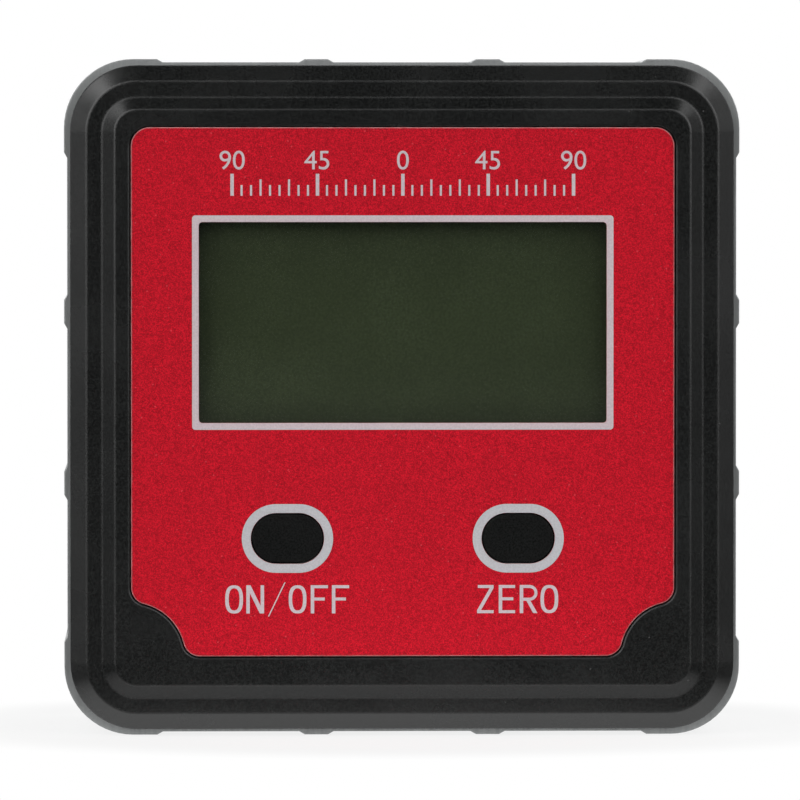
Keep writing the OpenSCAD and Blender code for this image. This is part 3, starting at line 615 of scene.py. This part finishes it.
ticks = []
for i in range(SCALE_STEPS + 1):
    x = -SCALE_HALF + 2 * SCALE_HALF * i / SCALE_STEPS
    half, high = SHORT_TICK
    if i % LONG_EVERY == 0:
        half, high = LONG_TICK
    elif i % MEDIUM_EVERY == 0:
        half, high = MEDIUM_TICK
    top = SCALE_Z + high
    ticks.append([[(x - half, SCALE_Z), (x + half, SCALE_Z), (x + half, top), (x - half, top)]])
print_piece("degree_ticks", ticks)

for i, text in enumerate(NUMBERS):
    name = "degree_number_%d" % i
    curve = bpy.data.curves.new(name, "FONT")
    curve.body = text
    curve.size = NUMBER_SIZE * MM
    curve.align_x = "CENTER"
    curve.extrude = INK_T / 2 * MM
    curve.materials.append(warm_ink)
    obj = bpy.data.objects.new(name, curve)
    scene.collection.objects.link(obj)
    obj.rotation_euler = (math.radians(90), 0, 0)
    across = -SCALE_HALF + 2 * SCALE_HALF * i / (len(NUMBERS) - 1)
    obj.location = (across * MM, (Y_LABEL - INK_T / 2) * MM, NUMBER_Z * MM)
    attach(obj, "case")


# Camera

DISTANCE = 700 * MM
AZIMUTH, ELEVATION = -1.5, 1.5
SENSOR_W = 36
CLIP_START, CLIP_END = 0.01, 50
PICTURE_W = PICTURE_PX / PX_PER_MM * MM

target = Vector((px_x(PICTURE_PX / 2) * MM, Y_RIM * MM, px_z(PICTURE_PX / 2) * MM))
a, e = math.radians(AZIMUTH), math.radians(ELEVATION)
back = Vector((math.sin(a) * math.cos(e), -math.cos(a) * math.cos(e), math.sin(e)))
lens = bpy.data.cameras.new("camera")
lens.sensor_width = SENSOR_W
lens.lens = SENSOR_W * DISTANCE / PICTURE_W
lens.clip_start, lens.clip_end = CLIP_START, CLIP_END
camera = bpy.data.objects.new("camera", lens)
scene.collection.objects.link(camera)
camera.location = target + back * DISTANCE
camera.rotation_mode = "QUATERNION"
camera.rotation_quaternion = (-back).to_track_quat("-Z", "Y")
scene.camera = camera


# Floor, world and lamps, in metres

WHITE, BLACK = rgb(1, 1, 1), rgb(0, 0, 0)
PAPER_LOW, PAPER_HIGH = rgb(0.86, 0.86, 0.86), rgb(0.90, 0.90, 0.90)
FLOOR_FAR = rgb(0.06, 0.06, 0.06)
NEAR_FULL, NEAR_GONE = 0.026, 0.045
NEAR_MIRROR, NEAR_SHADE = 0.65, 0.22
FLOOR_HALF, FLOOR_CELLS, FLOOR_Z = 3.0, 12, -0.00002


def floor_material():
    """Floor that reads white to the camera.

    Near the object it shows in reflections too, and keeps part of its own shading.
    """
    made, g, s = material("pale_floor", Roughness=0.8, Specular_IOR_Level=0.1)
    coords = g.add("ShaderNodeTexCoord")
    reach = g.add("ShaderNodeVectorMath", operation="LENGTH")
    g.tree.links.new(coords.outputs["Object"], reach.inputs[0])
    near = g.ramp(reach.outputs["Value"], NEAR_FULL, NEAR_GONE, 1.0, 0.0)
    paper = g.mix(g.noise(g.place(), 6, 2.0), PAPER_LOW, PAPER_HIGH)
    g.put(g.mix(near, FLOOR_FAR, paper), s.inputs["Base Color"])
    path = g.add("ShaderNodeLightPath")
    mirrored = g.math("MAXIMUM", path.outputs["Is Glossy Ray"], path.outputs["Is Transmission Ray"])
    mirrored = g.times(g.times(mirrored, near), NEAR_MIRROR)
    plain = g.math("SUBTRACT", 1.0, g.times(near, NEAR_SHADE))
    seen = g.math("MAXIMUM", mirrored, g.times(path.outputs["Is Camera Ray"], plain))
    glow = g.add("ShaderNodeEmission")
    glow.inputs["Strength"].default_value = 1.0
    both = g.add("ShaderNodeMixShader")
    g.put(seen, both.inputs[0])
    g.tree.links.new(s.outputs[0], both.inputs[1])
    g.tree.links.new(glow.outputs[0], both.inputs[2])
    g.tree.links.new(both.outputs[0], g.tree.nodes["Material Output"].inputs[0])
    return made


mesh = bpy.data.meshes.new("floor")
line = [-FLOOR_HALF + 2 * FLOOR_HALF * i / FLOOR_CELLS for i in range(FLOOR_CELLS + 1)]
row = FLOOR_CELLS + 1
mesh.from_pydata([(x, y, FLOOR_Z) for y in line for x in line], [],
                 [(j * row + i, j * row + i + 1, (j + 1) * row + i + 1, (j + 1) * row + i)
                  for j in range(FLOOR_CELLS) for i in range(FLOOR_CELLS)])
floor = bpy.data.objects.new("floor", mesh)
mesh.materials.append(floor_material())
scene.collection.objects.link(floor)

LEFT_GLOW, RIGHT_GLOW, BASE_GLOW = 0.50, 0.40, 0.02
BACKDROP_GREY = rgb(0.8, 0.8, 0.8)

world = bpy.data.worlds.new("studio")
scene.world = world
world.use_nodes = True
g = Graph(world.node_tree)
sky = world.node_tree.nodes["Background"]
toward = g.position("Generated")
left = g.ramp(toward["X"], -0.5, -0.95, 0.0, LEFT_GLOW)
right = g.ramp(toward["X"], 0.5, 0.95, 0.0, RIGHT_GLOW)
level = g.math("ADD", g.math("ADD", left, right), BASE_GLOW)
level = g.times(level, g.ramp(toward["Z"], 0.15, 0.75, 1.0, 0.12))
backdrop = g.times(g.ramp(toward["Y"], 0.3, 0.7), g.ramp(toward["Z"], 0.3, 0.7, 1.0, 0.15))
path = g.add("ShaderNodeLightPath")
seen = g.math("MAXIMUM", path.outputs["Is Glossy Ray"], path.outputs["Is Transmission Ray"])
white = g.math("MAXIMUM", path.outputs["Is Camera Ray"], g.times(seen, backdrop))
grey = g.mix(backdrop, g.mix(level, BLACK, WHITE), BACKDROP_GREY)
g.put(g.mix(white, grey, WHITE), sky.inputs["Color"])
sky.inputs["Strength"].default_value = 1.0

LAMP_AIM = Vector((0, 0, MID_Z * MM))


def lamp(name, at, size, watts):
    """Rectangular lamp that faces the middle of the part and doesn't show to the camera."""
    data = bpy.data.lights.new(name, "AREA")
    data.shape = "RECTANGLE"
    data.size, data.size_y = size
    data.energy = watts
    obj = bpy.data.objects.new(name, data)
    obj.location = at
    obj.rotation_mode = "QUATERNION"
    obj.rotation_quaternion = (LAMP_AIM - Vector(at)).to_track_quat("-Z", "Y")
    obj.visible_camera = False
    scene.collection.objects.link(obj)


lamp("left_soft", at=(-0.69, -0.74, 0.63), size=(1.2, 1.4), watts=12.6)
lamp("right_soft", at=(0.69, -0.74, 0.63), size=(1.2, 1.4), watts=9.8)
lamp("rear_soft", at=(0.3, 0.95, 0.8), size=(1.6, 1.2), watts=8.5)

scene.view_settings.view_transform = "Standard"
